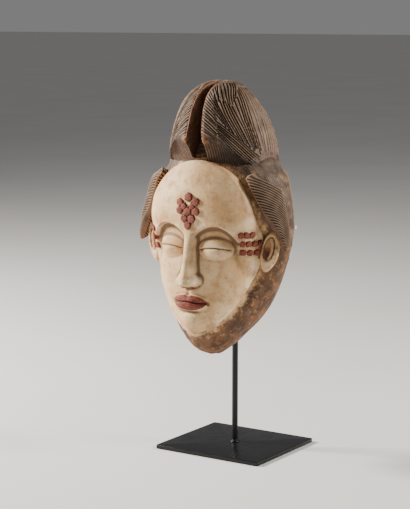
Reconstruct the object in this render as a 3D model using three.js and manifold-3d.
// A carved and painted wooden face mask on its museum stand: the mask, a steel base plate, an upright rod and
// the cradle that carries the mask. Millimetres, +Z up, the mask looks along -Y. The origin is the middle of the
// base plate's underside, and the rod's axis is the Z axis.
import * as THREE from "three";
import { mergeVertices } from "three/addons/utils/BufferGeometryUtils.js";
import Module from "manifold-3d";

const wasm = await Module();
wasm.setup();

// Driving dimensions of the stand
const PLATE_WIDTH = 130;
const PLATE_DEPTH = 118;
const PLATE_THICKNESS = 4.5;
const PLATE_BEVEL = 0.7;
const ROD_RADIUS = 3.3;
const ROD_HEIGHT = 270;
const ROD_SOCKET_DEPTH = 3;
const WELD_RADIUS = 5.4;
const WELD_HEIGHT = 1.8;
const MASK_LIFT = 106.5;
const SLEEVE_WALL = 1.3;
const SLEEVE_FOOT = 232;
const SLEEVE_HEIGHT = 34;
const WIRE_RADIUS = 1.8;
const ARM_HEIGHT = 249;
const ARM_REACH = 71.5;
const TIP_RADIUS = 2.3;
const TIP_LENGTH = 7;
const PAD_RADIUS = 8;
const PAD_THICKNESS = 2.5;
const PAD_HEIGHT = 301;
const PAD_SETBACK = 33;
const FIT_GAP = 0.3;

// Driving dimensions of the mask, heights counted from the lowest point of its collar
const HEAD_HEIGHT = 236;
const HEAD_HALF_WIDTH = 78.4;
const BACK_SETBACK = 25;
const BACK_LEAN = 0.125;
const WALL = 10;
const CAVITY_FRONT_WALL = 15;
const CAVITY_CROWN_WALL = 21;
const CHIN_LIFT = 29;
const FACE_HEIGHT = 181;
const FACE_HALF_WIDTH = 62;
const FACE_REACH = 90;
const CREST_TOP = 292;
const CREST_FRONT_FOOT = 228;
const CREST_SIDE_FOOT = 198;
const CREST_SLIM = 0.955;
const CREST_LONG = 1.07;
const NECK_REACH = 67.5;
const NECK_HALF_WIDTH = 50;
const NECK_FOOT = 190;
const CLEFT_WIDTH = 20;
const CLEFT_WIDTH_TOP = 8;
const CLEFT_FLOOR = 212;
const TRESS_TOP = 194;
const TIE_HEIGHT = 203.5;
const TIE_X = 52;
const TIE_SETBACK = 22.5;
const TIE_LENGTH = 42;
const TIE_WIDTH = 24;
const TIE_THICKNESS = 19;
const EAR_LENGTH = 44;
const EAR_WIDTH = 19;
const EAR_THICKNESS = 9.2;
const EAR_HEIGHT = 117;
const EAR_X = 73;
const EAR_SETBACK = 49;
const TEMPLE_DISC_RADIUS = 3.25;
const DISC_HEIGHT = 1.5;
const SLIT_WIDTH = 1.3;

// Mesh steps of the solids
const FACE_COLUMNS = 32;
const FACE_ROWS = 44;

const FACE_TOP = CHIN_LIFT + FACE_HEIGHT;
const FACE_WIDEST = FACE_TOP - FACE_HALF_WIDTH;
const LOWER_FACE = FACE_WIDEST - CHIN_LIFT;
const MASK_FOOT = PLATE_THICKNESS + MASK_LIFT;

const v3 = (x, y, z) => new THREE.Vector3(x, y, z);
const clamp = (value, low, high) => Math.min(high, Math.max(low, value));
const mix = (a, b, t) => a + (b - a) * t;
const power = (value, exponent) => Math.sign(value) * Math.abs(value) ** exponent;

// 0 below low, 1 above high, smooth between
function ramp(low, high, value) {
  const t = clamp((value - low) / (high - low), 0, 1);
  return t * t * (3 - 2 * t);
}

// A round hump of height 1 at 0 that fades out at 1
const hump = (r) => (Math.abs(r) < 1 ? (1 - r * r) ** 2 : 0);

// A smooth curve through [place, value] pairs, read at a place
function through(pairs) {
  return (place) => {
    let i = 0;
    while (i < pairs.length - 2 && place > pairs[i + 1][0]) i++;
    const [a, b] = [pairs[i], pairs[i + 1]];
    const before = pairs[Math.max(i - 1, 0)];
    const after = pairs[Math.min(i + 2, pairs.length - 1)];
    const step = b[0] - a[0];
    const t = clamp((place - a[0]) / step, 0, 1);
    const slopeA = ((b[1] - before[1]) / (b[0] - before[0])) * step;
    const slopeB = ((after[1] - a[1]) / (after[0] - a[0])) * step;
    const t2 = t * t;
    const t3 = t2 * t;
    const values = (2 * t3 - 3 * t2 + 1) * a[1] + (t3 - 2 * t2 + t) * slopeA;
    return values + (3 * t2 - 2 * t3) * b[1] + (t3 - t2) * slopeB;
  };
}

// A closed three.js geometry as a solid
function solidOf(geometry) {
  const bare = geometry.index ? geometry.clone() : geometry;
  for (const name of Object.keys(bare.attributes)) {
    if (name !== "position") bare.deleteAttribute(name);
  }
  const merged = mergeVertices(bare, 1e-4);
  const solid = new wasm.Manifold(
    new wasm.Mesh({
      numProp: 3,
      vertProperties: new Float32Array(merged.attributes.position.array),
      triVerts: new Uint32Array(merged.index.array),
    }),
  );
  return solid;
}

// The triangles of the largest closed shell, which leaves out pockets sealed inside the wood
function outerShell(triVerts, vertexCount) {
  const parent = Array.from({ length: vertexCount }, (_, i) => i);
  const root = (i) => {
    while (parent[i] !== i) i = parent[i] = parent[parent[i]];
    return i;
  };
  for (let t = 0; t < triVerts.length; t += 3) {
    parent[root(triVerts[t])] = root(triVerts[t + 1]);
    parent[root(triVerts[t + 1])] = root(triVerts[t + 2]);
  }
  const shells = new Map();
  for (let t = 0; t < triVerts.length; t += 3) {
    const key = root(triVerts[t]);
    if (!shells.has(key)) shells.set(key, []);
    shells.get(key).push(triVerts[t], triVerts[t + 1], triVerts[t + 2]);
  }
  return [...shells.values()].sort((a, b) => b.length - a.length)[0];
}

// A solid as a three.js geometry
function geometryOf(solid) {
  const mesh = solid.getMesh();
  const geometry = new THREE.BufferGeometry();
  geometry.setAttribute("position", new THREE.BufferAttribute(mesh.vertProperties, 3));
  geometry.setIndex(outerShell(mesh.triVerts, mesh.vertProperties.length / 3));
  geometry.computeVertexNormals();
  return geometry;
}

// A geometry from points and triangles
function geometryFrom(points, triangles) {
  const geometry = new THREE.BufferGeometry();
  const places = points.flatMap((p) => [p.x, p.y, p.z]);
  geometry.setAttribute("position", new THREE.Float32BufferAttribute(places, 3));
  geometry.setIndex(triangles.flat());
  return geometry;
}

// A closed solid through closed rings of equal length, with a fan over each end. Seen from the first ring's
// side, looking towards the last, the points run clockwise.
function loft(rings) {
  const points = rings.flat();
  const n = rings[0].length;
  const triangles = [];
  for (let i = 0; i < rings.length - 1; i++) {
    for (let j = 0; j < n; j++) {
      const k = (j + 1) % n;
      const [a, b, c, d] = [i * n + j, i * n + k, (i + 1) * n + j, (i + 1) * n + k];
      triangles.push([a, c, b], [b, c, d]);
    }
  }
  const middle = (ring) => ring.reduce((sum, p) => sum.add(p), v3(0, 0, 0)).divideScalar(n);
  const first = points.push(middle(rings[0])) - 1;
  const last = points.push(middle(rings[rings.length - 1])) - 1;
  const end = (rings.length - 1) * n;
  for (let j = 0; j < n; j++) {
    const k = (j + 1) % n;
    triangles.push([first, j, k], [last, end + k, end + j]);
  }
  let solid = solidOf(geometryFrom(points, triangles));
  if (solid.volume() < 0) {
    solid = solidOf(geometryFrom(points, triangles.map(([a, b, c]) => [a, c, b])));
  }
  return solid;
}

// A closed smooth ring of n points through a few corner points
function smoothRing(corners, n) {
  const curve = new THREE.CatmullRomCurve3(corners, true, "centripetal");
  return curve.getPoints(n).slice(0, n);
}

const union = (solids) => solids.reduce((whole, next) => whole.add(next));
const mirrored = (solid) => solid.mirror([1, 0, 0]);
const bothSides = (solid) => solid.add(mirrored(solid));

// The flat back of the mask, which leans back towards its top
const backAt = (z) => -BACK_SETBACK + BACK_LEAN * z;

// Half widths that narrow from 1 at the widest level to 0 at the end, for a share s of the way there
const narrowing = (s, round, full) => (1 - Math.min(1, s) ** round) ** full;

// The depth of the face's edge, by height as a share of the face from the chin
const edgeDepth = through([
  [0, -83],
  [0.03, -80],
  [0.11, -71],
  [0.22, -61],
  [0.33, -53],
  [0.42, -49],
  [0.52, -48.5],
  [0.6, -54],
  [0.66, -61],
  [0.75, -64.5],
  [0.9, -64],
  [0.97, -67],
  [1, -70],
]);

// The edge of the face round angle a, from 0 at the wearer's left temple: a half circle above, a tapering jaw
function faceEdge(a) {
  const c = Math.cos(a);
  const s = Math.sin(a);
  const z = s >= 0 ? FACE_WIDEST + FACE_HALF_WIDTH * s : FACE_WIDEST + LOWER_FACE * s;
  const x = FACE_HALF_WIDTH * (s >= 0 ? c : Math.sign(c) * narrowing(-s, 2.6, 0.62));
  const bow = 4 * hump((z - CHIN_LIFT - 0.52 * FACE_HEIGHT) / 45);
  return v3(x + Math.sign(x) * bow, edgeDepth((z - CHIN_LIFT) / FACE_HEIGHT), z);
}

// Half width of the mask's flat back by height, as shares of the widest and of the head's height
const rimShare = through([
  [0, 0],
  [0.0064, 0.05],
  [0.0212, 0.105],
  [0.0576, 0.254],
  [0.0924, 0.356],
  [0.1504, 0.533],
  [0.214, 0.682],
  [0.2924, 0.804],
  [0.3771, 0.892],
  [0.4492, 0.943],
  [0.5212, 0.98],
  [0.589, 1],
  [0.6737, 0.96],
  [0.7458, 0.909],
  [0.8136, 0.844],
  [0.8729, 0.71],
  [0.9407, 0.5],
  [0.9788, 0.3],
  [1, 0],
]);

// The outline of the mask on its flat back round the same angle
function rim(a) {
  const s = Math.sin(a);
  const z = s >= 0 ? FACE_WIDEST + (HEAD_HEIGHT - FACE_WIDEST) * s : FACE_WIDEST * (1 + s);
  return v3(Math.sign(Math.cos(a)) * HEAD_HALF_WIDTH * rimShare(z / HEAD_HEIGHT), backAt(z), z);
}

// How far the shell from the face's edge to the rim bulges, by angle in degrees
const bulge = through([
  [-90, 10],
  [-75, 12],
  [-58, 10],
  [-35, 8],
  [-12, 12],
  [10, 13],
  [35, 11],
  [60, 12],
  [90, 16],
]);

// A point of the shell behind the face: s runs from 0 at the face's edge to 1 at the rim
function shell(a, s, sink = 0) {
  const e = faceEdge(a);
  const r = rim(a);
  const along = r.clone().sub(e).normalize();
  const out = v3(e.x + r.x, 0, e.z + r.z - 2 * FACE_WIDEST).normalize();
  out.addScaledVector(along, -out.dot(along)).normalize();
  const degrees = THREE.MathUtils.radToDeg(Math.atan2(Math.sin(a), Math.abs(Math.cos(a))));
  return e.lerp(r, s).addScaledVector(out, bulge(degrees) * 4 * s * (1 - s) - sink);
}

// The smooth front of the face without its features, for a point of the unit disc
function faceFront(dx, dz) {
  const r = Math.min(1, Math.hypot(dx, dz));
  const a = Math.atan2(dz, dx);
  const e = faceEdge(a);
  const centre = v3(0, -FACE_REACH, FACE_WIDEST);
  const rise = (1 - r ** 2.3) ** 0.5;
  return v3(e.x * r, mix(e.y, centre.y, rise), mix(centre.z, e.z, r));
}

// Places of the features as shares of the face's height from the chin and of its half width: the eyes at
// half height, the nose's base half way from brows to chin, the mouth a third of the way from nose to chin.
const EYE = { x: 0.46, z: 0.5, halfWidth: 0.33, halfHeight: 0.068 };
const BROW = { root: 0.552, top: 0.64, end: 0.515, topX: 0.47, endX: 0.93 };
const NOSE = { root: 0.585, tip: 0.322, base: 0.285 };
const MOUTH = { z: 0.192, halfWidth: 0.31 };

// Height of the brow line at a distance from the middle, both as shares
function browLine(x) {
  const inner = 1 - Math.abs((BROW.topX - x) / BROW.topX) ** 2.2;
  const outer = 1 - Math.abs((x - BROW.topX) / (BROW.endX - BROW.topX)) ** 2;
  return x < BROW.topX ? mix(BROW.root, BROW.top, inner) : mix(BROW.end, BROW.top, outer);
}

// Height of the slit between the eyelids at a distance from the middle, both as shares
const slitLine = (x) => EYE.z + 0.012 * (1 - 2 * ((x - EYE.x) / EYE.halfWidth) ** 2);

// How far the carving stands out from the smooth face, in millimetres, at shares x and z
function relief(x, z) {
  const side = Math.abs(x);
  const below = browLine(Math.min(side, 1)) - z;
  const besideNose = ramp(0.05, 0.17, side);
  let out = 2 * hump((z - 0.8) / 0.4) * hump(side / 1.1);
  const socket = ramp(-0.01, 0.028, below) * (1 - ramp(0.06, 0.27, below));
  out -= 5.5 * socket * besideNose * (1 - ramp(0.78, 1, side));
  out += 0.9 * hump(below / 0.02) * besideNose * (1 - ramp(0.7, 0.95, side));
  const lid = Math.hypot((side - EYE.x) / EYE.halfWidth, (z - EYE.z) / EYE.halfHeight);
  out += 5.6 * (1 - Math.min(1, lid) ** 2) ** 1.1;
  const down = clamp((NOSE.root - z) / (NOSE.root - NOSE.tip), 0, 1);
  const halfNose = mix(0.13, 0.2, down ** 1.5);
  const bridge = (1 - Math.min(1, side / halfNose) ** 2) ** 1.6;
  const noseEnds = ramp(NOSE.base - 0.014, NOSE.base + 0.02, z) * (1 - ramp(0.56, 0.66, z));
  out += mix(2.5, 14.5, down ** 1.1) * bridge * noseEnds;
  out += 5.5 * hump(Math.hypot((side - 0.15) / 0.1, (z - 0.32) / 0.045));
  out += 3.4 * hump(Math.hypot(x / 0.62, (z - MOUTH.z) / 0.16));
  const lipEnd = (1 - Math.min(1, side / MOUTH.halfWidth) ** 2.4) ** 0.7;
  out += 3.8 * lipEnd * hump((z - MOUTH.z - 0.019) / (0.036 - 0.006 * hump(side / 0.08)));
  out += 4.2 * lipEnd * hump((z - MOUTH.z + 0.022) / 0.038);
  out += 4.5 * hump(Math.hypot(x / 0.34, (z - 0.075) / 0.085));
  return out;
}

// Grid lines from -1 to 1 that crowd where more detail is carved
function spread(count, crowd) {
  const weights = [...Array(count).keys()].map((i) => 1 / crowd(-1 + (2 * (i + 0.5)) / count));
  const total = weights.reduce((a, b) => a + b);
  let sum = 0;
  return [-1, ...weights.map((w) => -1 + (2 * (sum += w)) / total)];
}

// A point of the carved face for a place in the unit disc
function facePointAt(dx, dz) {
  const at = faceFront(dx, dz);
  const step = 0.01;
  const [ux, uz] = [dx * (1 - step), dz * (1 - step)];
  const across = faceFront(ux + step * 0.5, uz).sub(faceFront(ux - step * 0.5, uz));
  const up = faceFront(ux, uz + step * 0.5).sub(faceFront(ux, uz - step * 0.5));
  const normal = across.cross(up).normalize();
  const fade = 1 - ramp(0.93, 1, Math.hypot(dx, dz));
  const out = relief(at.x / FACE_HALF_WIDTH, (at.z - CHIN_LIFT) / FACE_HEIGHT);
  return at.addScaledVector(normal, fade * out);
}

// A point of the carved face for a place in the square from -1 to 1
const facePoint = (u, v) => facePointAt(u * Math.sqrt(1 - (v * v) / 2), v * Math.sqrt(1 - (u * u) / 2));

// The head: the carved face, the step behind its edge, the shell that runs back from there, the flat back
function headSolid() {
  const us = spread(FACE_COLUMNS, (t) => 1 + 0.8 * hump(t / 0.6));
  const vs = spread(FACE_ROWS, (t) => 0.8 + 1.6 * hump((t + 0.67) / 0.3) + 0.9 * hump((t + 0.2) / 0.3));
  const points = [];
  const id = (i, j) => j * (FACE_COLUMNS + 1) + i;
  for (const v of vs) for (const u of us) points.push(facePoint(u, v));
  const triangles = [];
  for (let j = 0; j < FACE_ROWS; j++) {
    for (let i = 0; i < FACE_COLUMNS; i++) {
      const [a, b, c, d] = [id(i, j), id(i + 1, j), id(i, j + 1), id(i + 1, j + 1)];
      if (i < FACE_COLUMNS / 2 === j < FACE_ROWS / 2) triangles.push([a, b, c], [b, d, c]);
      else triangles.push([a, b, d], [a, d, c]);
    }
  }
  const loop = [];
  for (let i = 0; i < FACE_COLUMNS; i++) loop.push([i, 0]);
  for (let j = 0; j < FACE_ROWS; j++) loop.push([FACE_COLUMNS, j]);
  for (let i = FACE_COLUMNS; i > 0; i--) loop.push([i, FACE_ROWS]);
  for (let j = FACE_ROWS; j > 0; j--) loop.push([0, j]);
  const angles = loop.map(([i, j]) => {
    const [u, v] = [us[i], vs[j]];
    return Math.atan2(v * Math.sqrt(1 - (u * u) / 2), u * Math.sqrt(1 - (v * v) / 2));
  });
  // The step behind the face's edge is deep below the jaw and shallow at the hairline
  const step = (a) => mix(1.8, 4.6, 1 - ramp(-0.35, 0.25, Math.sin(a)));
  const profile = [
    [0.02, (a) => step(a) * 0.5],
    [0.08, (a) => step(a)],
    [0.18, (a) => step(a) * 0.45],
    [0.3, () => 0],
    [0.5, () => 0],
    [0.75, () => 0],
    [1, () => 0],
  ];
  const rim0 = loop.map(([i, j]) => id(i, j));
  const coarse = angles.filter((_, k) => k % 2 === 0);
  let inner = null;
  for (const [s, sink] of profile) {
    const ring = coarse.map((a) => points.push(shell(a, s, sink(a))) - 1);
    for (let k = 0; k < ring.length; k++) {
      const next = (k + 1) % ring.length;
      if (inner) {
        triangles.push([inner[k], ring[k], inner[next]], [ring[k], ring[next], inner[next]]);
      } else {
        const [a, b, c] = [rim0[2 * k], rim0[2 * k + 1], rim0[(2 * k + 2) % rim0.length]];
        triangles.push([a, ring[k], b], [b, ring[k], ring[next]], [b, ring[next], c]);
      }
    }
    inner = ring;
  }
  const back = points.push(v3(0, backAt(FACE_WIDEST), FACE_WIDEST)) - 1;
  inner.forEach((p, k) => triangles.push([p, back, inner[(k + 1) % inner.length]]));
  return solidOf(geometryFrom(points, triangles));
}

// The hollow behind the face, open at the back
function cavitySolid() {
  const centre = 0.5 * HEAD_HEIGHT;
  const top = CREST_FRONT_FOOT - CAVITY_CROWN_WALL - centre;
  const rings = [];
  const steps = 8;
  for (let i = 0; i <= steps; i++) {
    const t = i / steps;
    const deep = Math.sin((t * Math.PI) / 2);
    const size = Math.sqrt(1 - deep ** 2.1);
    const ring = [];
    for (let k = 0; k < 28; k++) {
      const a = (2 * Math.PI * k) / 28;
      const s = Math.sin(a);
      const x = Math.cos(a) > 0 ? 1 : -1;
      const half = s >= 0 ? Math.sqrt(1 - s * s) : narrowing(-s, 2.1, 0.72);
      const z = centre + size * (s >= 0 ? top * s : (centre - WALL) * s);
      const back = backAt(z) + 1;
      const front = -FACE_REACH + CAVITY_FRONT_WALL;
      ring.push(v3(x * half * (HEAD_HALF_WIDTH - WALL) * Math.max(size, 0.02), mix(back, front, deep), z));
    }
    rings.push(ring);
  }
  return loft(rings);
}

// Half size of the crest seen along its diagonal, and its middle, by the distance below its top
const sizeBelowTop = through([
  [0, 3],
  [1.4, 12],
  [5, 21.3],
  [11, 29.1],
  [18, 35.5],
  [28, 42],
  [38, 46.9],
  [48, 50.8],
  [58, 54],
  [68, 56.4],
  [78, 58.2],
  [85, 58.8],
  [102, 58.9],
]);
const middleBelowTop = through([
  [0, -28],
  [5, -30],
  [16, -31.3],
  [28, -30.3],
  [48, -27.2],
  [68, -24.7],
  [85, -23],
  [102, -22.5],
]);
const crestSize = (z) => sizeBelowTop(CREST_TOP - z);
const crestMiddle = (z) => middleBelowTop(CREST_TOP - z);

// Height of the crest's lower edge by turn from the front, in radians
const crestFoot = through([
  [0, CREST_FRONT_FOOT],
  [0.5, CREST_FRONT_FOOT + 3],
  [0.78, CREST_FRONT_FOOT - 8],
  [1.25, CREST_SIDE_FOOT + 5],
  [1.7, CREST_SIDE_FOOT],
  [3.2, CREST_SIDE_FOOT - 2],
]);

// A point of the crest's outside: turn runs from 0 at the front to pi at the rear, h from foot to top
function crestPoint(turn, h) {
  const c = Math.cos(turn);
  const s = Math.sin(turn);
  const z = mix(crestFoot(Math.abs(turn)), CREST_TOP, h);
  const size = crestSize(z);
  const round = c > 0 ? 2 / 2.1 : 2 / 2.5;
  return v3(size * CREST_SLIM * power(s, round), crestMiddle(z) - size * CREST_LONG * power(c, round), z);
}

// The dome of hair, still whole
function crestSolid() {
  const heights = [0.04, 0.17, 0.33, 0.48, 0.61, 0.73, 0.83, 0.9, 0.95, 0.98, 0.997];
  const count = 36;
  const ring = (h, inset) =>
    [...Array(count).keys()].map((k) => {
      const p = crestPoint(((k + 0.5) / count) * 2 * Math.PI - Math.PI, h);
      return v3(p.x * inset, mix(crestMiddle(p.z), p.y, inset), p.z);
    });
  const inner = ring(0, 0.86).map((p) => p.setZ(p.z + 3));
  return loft([inner, ring(0, 0.96), ...heights.map((h) => ring(h, 1))]);
}

// An upright ring, fuller at the rear than at the front
function ovalRing(halfX, front, z, middle = -24, rear = 34, count = 28) {
  return [...Array(count).keys()].map((k) => {
    const a = (2 * Math.PI * (k + 0.5)) / count;
    const c = Math.cos(a);
    const y = c > 0 ? middle - (middle - front) * c : middle - rear * c;
    return v3(halfX * Math.sin(a), y, z);
  });
}

// The neck under the crest, which flares into the lobes' lower front corners: height above its foot, how much
// wider and how much further forward it is there
const NECK_RINGS = [
  [0, 0, -3],
  [21, 0, 0],
  [29, 1, 3],
  [33, 1, 7],
  [38, 0, 15],
  [42, -1, 16],
];
const neckRing = ([rise, wider, forward]) =>
  ovalRing(NECK_HALF_WIDTH + wider, -NECK_REACH - forward, NECK_FOOT + rise);
const neckSolid = () => loft(NECK_RINGS.map(neckRing));

// The cleft between the two lobes: its floor rises in a curve towards the rear
function cleftSolid() {
  const floor = [
    [-110, CLEFT_FLOOR],
    [-60, CLEFT_FLOOR],
    [-44, CLEFT_FLOOR + 8],
    [-30, CLEFT_FLOOR + 26],
    [-20, CLEFT_FLOOR + 50],
    [-12, CREST_TOP - 8],
    [-8, CREST_TOP + 8],
  ];
  const share = (z) => clamp((z - CREST_FRONT_FOOT) / (CREST_TOP - CREST_FRONT_FOOT), 0, 1);
  const width = (z) => mix(CLEFT_WIDTH, CLEFT_WIDTH_TOP, share(z));
  const top = CREST_TOP + 20;
  return loft(
    floor.map(([y, z]) => [
      v3(-0.5 * width(z) + 1.5, y, z),
      v3(0.5 * width(z) - 1.5, y, z),
      v3(0.5 * width(z + 3), y, z + 3),
      v3(0.5 * width(top), y, top),
      v3(-0.5 * width(top), y, top),
      v3(-0.5 * width(z + 3), y, z + 3),
    ]),
  );
}

// The tress beside the wearer's left temple: distance below its top, then front edge, crown, rear edge and
// inside of the cross section there
const TRESS = [
  [-5, [58, -54], [64, -47], [66, -36], [50, -38]],
  [0, [53, -63], [63, -57], [72.5, -39], [48, -40]],
  [5, [56, -65.5], [68, -59], [75.5, -37], [50, -38]],
  [15, [60.5, -64], [73.5, -57], [79, -34], [54, -34]],
  [30, [67.5, -60], [80, -55], [81.5, -31.5], [62, -31]],
  [47, [74.5, -54], [86.5, -53], [84.5, -30.5], [70, -32]],
  [62, [82, -49.5], [91, -51], [87, -31], [77, -34]],
  [71, [86.5, -47.5], [93, -49], [89.5, -38], [84, -40]],
  [76, [90, -47.5], [91.5, -48], [91, -46], [89.6, -46]],
];
const tressRing = ([drop, ...corners]) => smoothRing(corners.map(([x, y]) => v3(x, y, TRESS_TOP - drop)), 12);
const tressSolid = () => loft(TRESS.map(tressRing));

// An ellipsoid given by its middle and half axes
function ellipsoid(middle, axes, columns = 14, rows = 9) {
  const sphere = new THREE.SphereGeometry(1, columns, rows);
  sphere.scale(axes.x, axes.y, axes.z).translate(middle.x, middle.y, middle.z);
  return solidOf(sphere);
}

// The wearer's left ear: a shell of an ear with its hollow
function earSolid() {
  const place = (solid) => solid.rotate([0, 13, 24]).translate([EAR_X, -EAR_SETBACK, EAR_HEIGHT]);
  const half = v3(0.5 * EAR_WIDTH, 0.5 * EAR_THICKNESS, 0.5 * EAR_LENGTH);
  const body = ellipsoid(v3(0, 0, 0), half, 12, 10);
  const middle = v3(-0.1 * half.x, -half.y, 0.15 * half.z);
  const hollow = ellipsoid(middle, v3(0.6 * half.x, 0.8 * half.y, 0.62 * half.z), 10, 7);
  return place(body.subtract(hollow));
}

// The carved face's surface and outward direction at a place of its unit disc
function faceSpot(dx, dz) {
  const step = 0.012;
  const across = facePointAt(dx + step, dz).sub(facePointAt(dx - step, dz));
  const up = facePointAt(dx, dz + step).sub(facePointAt(dx, dz - step));
  return { at: facePointAt(dx, dz), normal: across.cross(up).normalize() };
}

// The same at a place seen from the front
function faceAt(x, z) {
  const tall = z > FACE_WIDEST ? FACE_HALF_WIDTH : LOWER_FACE;
  let dx = x / FACE_HALF_WIDTH;
  let dz = (z - FACE_WIDEST) / tall;
  for (let k = 0; k < 12; k++) {
    const p = facePointAt(dx, dz);
    dx += ((x - p.x) / FACE_HALF_WIDTH) * 0.8;
    dz += ((z - p.z) / tall) * 0.8;
  }
  return faceSpot(dx, dz);
}

// Flat-topped raised discs given by their spots and radii
function discsSolid(spots) {
  const discs = spots.map(([{ at, normal }, radius]) => {
    const disc = new THREE.CylinderGeometry(radius * 0.86, radius, 2 * DISC_HEIGHT + 2, 6);
    const turn = new THREE.Quaternion().setFromUnitVectors(v3(0, 1, 0), normal);
    disc.applyQuaternion(turn).translate(at.x, at.y, at.z);
    return solidOf(disc);
  });
  return union(discs);
}

// A V-shaped cut along a path of points with outward directions
function groove(path, width, depth) {
  const rings = path.map(({ at, normal }, i) => {
    const before = path[Math.max(i - 1, 0)].at;
    const after = path[Math.min(i + 1, path.length - 1)].at;
    const side = after.clone().sub(before).normalize().cross(normal).normalize();
    const end = i === 0 || i === path.length - 1 ? 0.35 : 1;
    const lift = 1.2;
    const open = width * 0.5 * (1 + lift / depth) * end;
    return [
      at.clone().addScaledVector(normal, -depth * end),
      at.clone().addScaledVector(normal, lift).addScaledVector(side, open),
      at.clone().addScaledVector(normal, lift).addScaledVector(side, -open),
    ];
  });
  return loft(rings);
}

// Everything behind the flat back
function behindSolid() {
  const side = 2 * CREST_TOP;
  const box = new THREE.BoxGeometry(side, side, 2 * side);
  box.translate(0, 0.5 * side, 0);
  const lean = new THREE.Matrix4().makeRotationX(-Math.atan(BACK_LEAN));
  box.applyMatrix4(lean).translate(0, backAt(FACE_WIDEST), FACE_WIDEST);
  return solidOf(box);
}

// A path on the crest's outside through places given by turn and height share
const crestPath = (places) =>
  places.map(([turn, h]) => {
    const step = 0.01;
    const across = crestPoint(turn + step, h).sub(crestPoint(turn - step, h));
    const up = crestPoint(turn, h + step).sub(crestPoint(turn, h - step));
    return { at: crestPoint(turn, h), normal: across.cross(up).normalize() };
  });

// A path on the carved face through places seen from the front
const facePath = (places) => places.map(([x, z]) => faceAt(x, z));

// The slit between the lids of the wearer's left eye, and the line of the mouth
function eyeSlit() {
  const xs = [-0.78, -0.45, -0.12, 0.2, 0.52, 0.8].map((t) => EYE.x + EYE.halfWidth * t);
  const places = xs.map((x) => [x * FACE_HALF_WIDTH, slitLine(x) * FACE_HEIGHT + CHIN_LIFT]);
  return groove(facePath(places), SLIT_WIDTH, 2);
}
function mouthLine() {
  const xs = [-0.95, -0.6, -0.25, 0.1, 0.45, 0.7, 0.95].map((t) => t * MOUTH.halfWidth * FACE_HALF_WIDTH);
  return groove(facePath(xs.map((x) => [x, MOUTH.z * FACE_HEIGHT + CHIN_LIFT])), SLIT_WIDTH * 1.3, 3);
}

// Places and radii of the raised discs on the forehead, seen from the front
const FOREHEAD_DISCS = [
  [0, 173.4, 4.6],
  [-10.2, 167.6, 4],
  [9.6, 168.8, 4],
  [-5, 163.6, 3.4],
  [4.9, 164, 3.4],
  [-10.4, 159.4, 4],
  [0, 158.4, 4.2],
  [9.8, 159, 4],
  [-4.6, 151.2, 4.1],
  [4.4, 151, 4.1],
  [-0.4, 144.4, 4],
];

// Places of the discs on each temple in the face's unit disc: three rows, with one more behind the middle row
const TEMPLE_DISCS = [-0.105, -0.183, -0.262].flatMap((dz, row) => [
  [0.815, dz],
  [0.882, dz],
  [0.938, dz],
  ...(row === 1 ? [[0.972, dz]] : []),
]);

// Carved lines on each lobe of the crest, as places given by turn and height share: a fan that runs together
// above the tie, a band of lines along the lower edge, slanting strokes on the front, plain lines at the rear
const CREST_LINES = [
  [[0.44, 0.683], [0.64, 0.472], [0.9, 0.291], [1.36, 0.135]],
  [[0.86, 0.894], [1, 0.683], [1.14, 0.422], [1.4, 0.16]],
  [[1.5, 0.925], [1.38, 0.734], [1.4, 0.472], [1.46, 0.2]],
  [[1.7, 0.89], [1.6, 0.734], [1.58, 0.492], [1.6, 0.15]],
  [[0.56, 0.503], [0.9, 0.352], [1.36, 0.115]],
  [[0.56, 0.382], [0.88, 0.261], [1.34, 0.09]],
  [[0.57, 0.16], [0.86, 0.09], [1.2, 0.04]],
  [[0.24, 0.12], [0.4, 0.23]],
  [[0.23, 0.3], [0.42, 0.41]],
  [[0.26, 0.5], [0.46, 0.62]],
];
const crestLines = () => union(CREST_LINES.map((line) => groove(crestPath(line), 2.2, 1.5)));

// Slanting lines on the wearer's left tress, from its front edge down to its rear edge
function tressLines() {
  const corner = (k, z) => {
    const along = (axis) => through(TRESS.map(([drop, ...at]) => [TRESS_TOP - drop, at[k][axis]]).reverse());
    return [along(0)(z), along(1)(z)];
  };
  const at = (z, side) => {
    const first = side < 0.5 ? 0 : 1;
    const [a, b] = [corner(first, z), corner(first + 1, z)];
    const t = side * 2 - first;
    const bow = 1.3 * 4 * t * (1 - t);
    return {
      at: v3(mix(a[0], b[0], t) + 0.8 * bow, mix(a[1], b[1], t) - 0.6 * bow, z),
      normal: v3(0.85, side < 0.5 ? -0.53 : -0.2, 0.1).normalize(),
    };
  };
  const lines = [];
  for (let z = TRESS_TOP - 7; z > TRESS_TOP - 52; z -= 11) {
    lines.push(groove([at(z, 0.08), at(z - 4, 0.5), at(z - 10, 0.9)], 2.2, 1.6));
  }
  return union(lines);
}

const headBase = headSolid();
const cavity = cavitySolid();
const crest = crestSolid().add(neckSolid()).subtract(cleftSolid());
const tieSize = v3(0.5 * TIE_WIDTH, 0.5 * TIE_LENGTH, 0.5 * TIE_THICKNESS);
const tie = ellipsoid(v3(TIE_X, -TIE_SETBACK, TIE_HEIGHT), tieSize, 12, 8);
const tress = tressSolid().subtract(tressLines());
const crestCut = crest.subtract(bothSides(crestLines()));
let mask = union([headBase, crestCut, bothSides(tie), bothSides(tress), bothSides(earSolid())]);
mask = mask.subtract(behindSolid()).subtract(cavity);
mask = mask.add(discsSolid(FOREHEAD_DISCS.map(([x, z, radius]) => [faceAt(x, z), radius])));
const templeSpots = TEMPLE_DISCS.map(([dx, dz]) => [faceSpot(dx, dz), TEMPLE_DISC_RADIUS]);
mask = mask.add(bothSides(discsSolid(templeSpots)));
mask = mask.subtract(bothSides(eyeSlit())).subtract(mouthLine());

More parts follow.
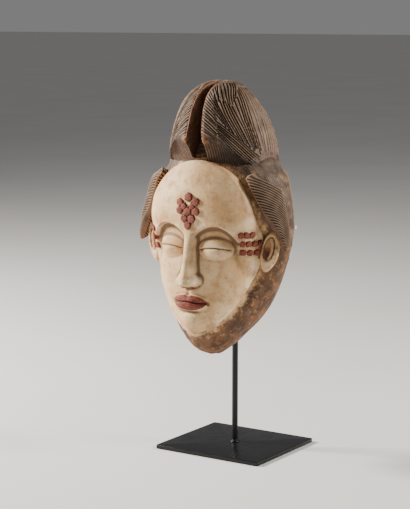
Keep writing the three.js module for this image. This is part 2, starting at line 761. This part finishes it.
// A round bar along a path
function wire(path, radius, sides = 12) {
  const axis = v3(0, 0, 1);
  return loft(
    path.map((at, i) => {
      const next = path[Math.min(i + 1, path.length - 1)];
      const along = next.clone().sub(path[Math.max(i - 1, 0)]).normalize();
      const turn = new THREE.Quaternion().setFromUnitVectors(axis, along);
      return [...Array(sides).keys()].map((k) => {
        const a = (2 * Math.PI * k) / sides;
        return v3(radius * Math.cos(a), radius * Math.sin(a), 0).applyQuaternion(turn).add(at);
      });
    }),
  );
}

// An upright turned piece from [radius, height] pairs
function turned(pairs, sides = 24) {
  const angles = [...Array(sides).keys()].map((k) => (2 * Math.PI * k) / sides);
  return loft(pairs.map(([r, z]) => angles.map((a) => v3(r * Math.cos(a), r * Math.sin(a), z))));
}

// A rectangular plate with small bevels and a socket for the rod
function plateSolid() {
  const ring = (inset, z) => [
    v3(-0.5 * PLATE_WIDTH + inset, -0.5 * PLATE_DEPTH + inset, z),
    v3(0.5 * PLATE_WIDTH - inset, -0.5 * PLATE_DEPTH + inset, z),
    v3(0.5 * PLATE_WIDTH - inset, 0.5 * PLATE_DEPTH - inset, z),
    v3(-0.5 * PLATE_WIDTH + inset, 0.5 * PLATE_DEPTH - inset, z),
  ];
  const b = PLATE_BEVEL;
  const top = PLATE_THICKNESS;
  const body = loft([ring(0.5 * b, 0), ring(0, 0.5 * b), ring(0, top - b), ring(b, top)]);
  const socketFoot = PLATE_THICKNESS - ROD_SOCKET_DEPTH;
  const socket = turned([[ROD_RADIUS + FIT_GAP, socketFoot], [ROD_RADIUS + FIT_GAP, PLATE_THICKNESS + 1]]);
  return body.subtract(socket);
}

// The upright rod with the ring of weld at its foot
function rodSolid() {
  const foot = PLATE_THICKNESS + FIT_GAP;
  return turned([
    [ROD_RADIUS, PLATE_THICKNESS - ROD_SOCKET_DEPTH + FIT_GAP],
    [ROD_RADIUS, foot],
    [WELD_RADIUS, foot],
    [WELD_RADIUS * 0.9, foot + 0.45 * WELD_HEIGHT],
    [ROD_RADIUS * 1.04, foot + WELD_HEIGHT],
    [ROD_RADIUS, foot + WELD_HEIGHT + 0.6],
    [ROD_RADIUS, ROD_HEIGHT - 0.8],
    [ROD_RADIUS - 0.8, ROD_HEIGHT],
  ]);
}

// The cradle: a sleeve on the rod, a bar behind the rim with a tip at each end, and an arm with a pad under
// the crown
function cradleSolid() {
  const bore = ROD_RADIUS + FIT_GAP;
  const outer = bore + SLEEVE_WALL;
  const sleeveTop = SLEEVE_FOOT + SLEEVE_HEIGHT;
  const sleeve = turned([[outer, SLEEVE_FOOT], [outer, sleeveTop]]);
  const hole = turned([[bore, SLEEVE_FOOT - 1], [bore, sleeveTop + 1]]);
  const barDepth = backAt(ARM_HEIGHT - MASK_FOOT) + TIP_RADIUS + FIT_GAP + 0.3;
  const onBar = (x) => v3(x, barDepth, ARM_HEIGHT);
  const bar = wire([onBar(-ARM_REACH - 1), onBar(ARM_REACH + 1)], WIRE_RADIUS);
  const tip = wire([onBar(ARM_REACH), onBar(ARM_REACH + TIP_LENGTH)], TIP_RADIUS);
  const armFoot = SLEEVE_FOOT + 0.4 * SLEEVE_HEIGHT;
  const armDepth = outer + 0.5 * WIRE_RADIUS;
  const bend = [[0, 0], [0.05, 0.29], [0.14, 0.54], [0.32, 0.76], [0.6, 0.91], [0.89, 0.98], [1, 1]];
  const arm = wire(
    bend.map(([t, rise]) => v3(0, -mix(armDepth, PAD_SETBACK + 1, t), mix(armFoot, PAD_HEIGHT, rise))),
    WIRE_RADIUS,
  );
  const pad = turned([[PAD_RADIUS, 0], [PAD_RADIUS, PAD_THICKNESS]]).translate([0, -PAD_SETBACK, PAD_HEIGHT]);
  return union([sleeve, bar, bothSides(tip), arm, pad]).subtract(hole);
}

function paint(color, roughness) {
  return new THREE.MeshStandardMaterial({ color, roughness, metalness: 0 });
}
const group = new THREE.Group();
function place(name, solid, material, lift) {
  const mesh = new THREE.Mesh(geometryOf(solid), material);
  mesh.name = name;
  mesh.position.z = lift;
  group.add(mesh);
}
place("mask", mask, paint(0xd9c4a0, 0.8), MASK_FOOT);
place("base_plate", plateSolid(), paint(0x0c0c0d, 0.3), 0);
place("upright_rod", rodSolid(), paint(0x101011, 0.35), 0);
place("cradle", cradleSolid(), paint(0x101011, 0.35), 0);

export default group;
